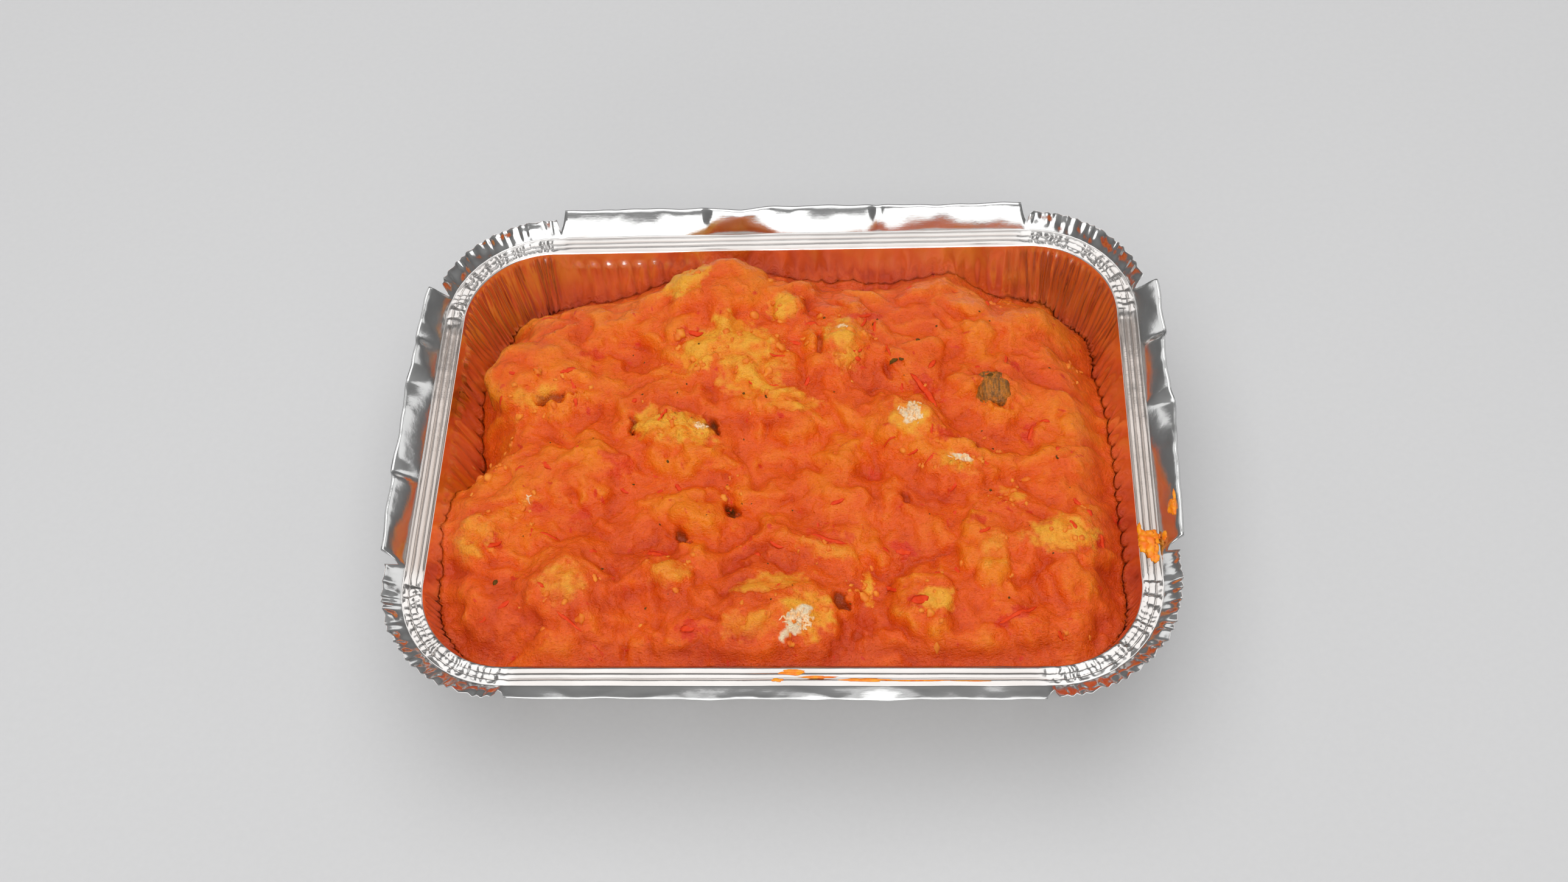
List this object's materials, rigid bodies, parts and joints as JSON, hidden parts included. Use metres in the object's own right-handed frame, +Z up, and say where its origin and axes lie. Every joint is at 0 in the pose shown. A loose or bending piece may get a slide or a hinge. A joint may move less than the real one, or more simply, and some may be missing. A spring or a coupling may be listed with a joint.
{
  "type": "foil tray meal",
  "caption": "Oblong foil takeaway tray with fluted walls and bent-open flaps, heaped with battered chicken pieces in a thick orange sauce.",
  "frame": {"origin": "middle of the tray's flat base, on the surface it stands on", "axes": "+X along the tray's long side, +Y towards its back, +Z up"},
  "size_m": [0.2256, 0.1657, 0.05],
  "materials": {
    "foil": "bright rolled foil, creased",
    "sauce": "thick wet sauce",
    "chicken": "soaked batter with a thin coat of sauce",
    "onion": "soft cooked onion under sauce"
  },
  "bodies": {
    "root": {"foil_tray": "foil", "sauce": "sauce", "chicken_left": "chicken", "chicken_back": "chicken", "chicken_middle": "chicken", "chicken_split": "chicken", "chicken_cleft": "chicken", "chicken_torn": "chicken", "chicken_flesh": "chicken", "chicken_front": "chicken", "chicken_dome": "chicken", "chicken_round": "chicken", "chicken_lobe": "chicken", "chicken_cube": "chicken", "chicken_shred": "chicken", "chicken_crumb": "chicken", "onion": "onion"}
  },
  "joints": []
}
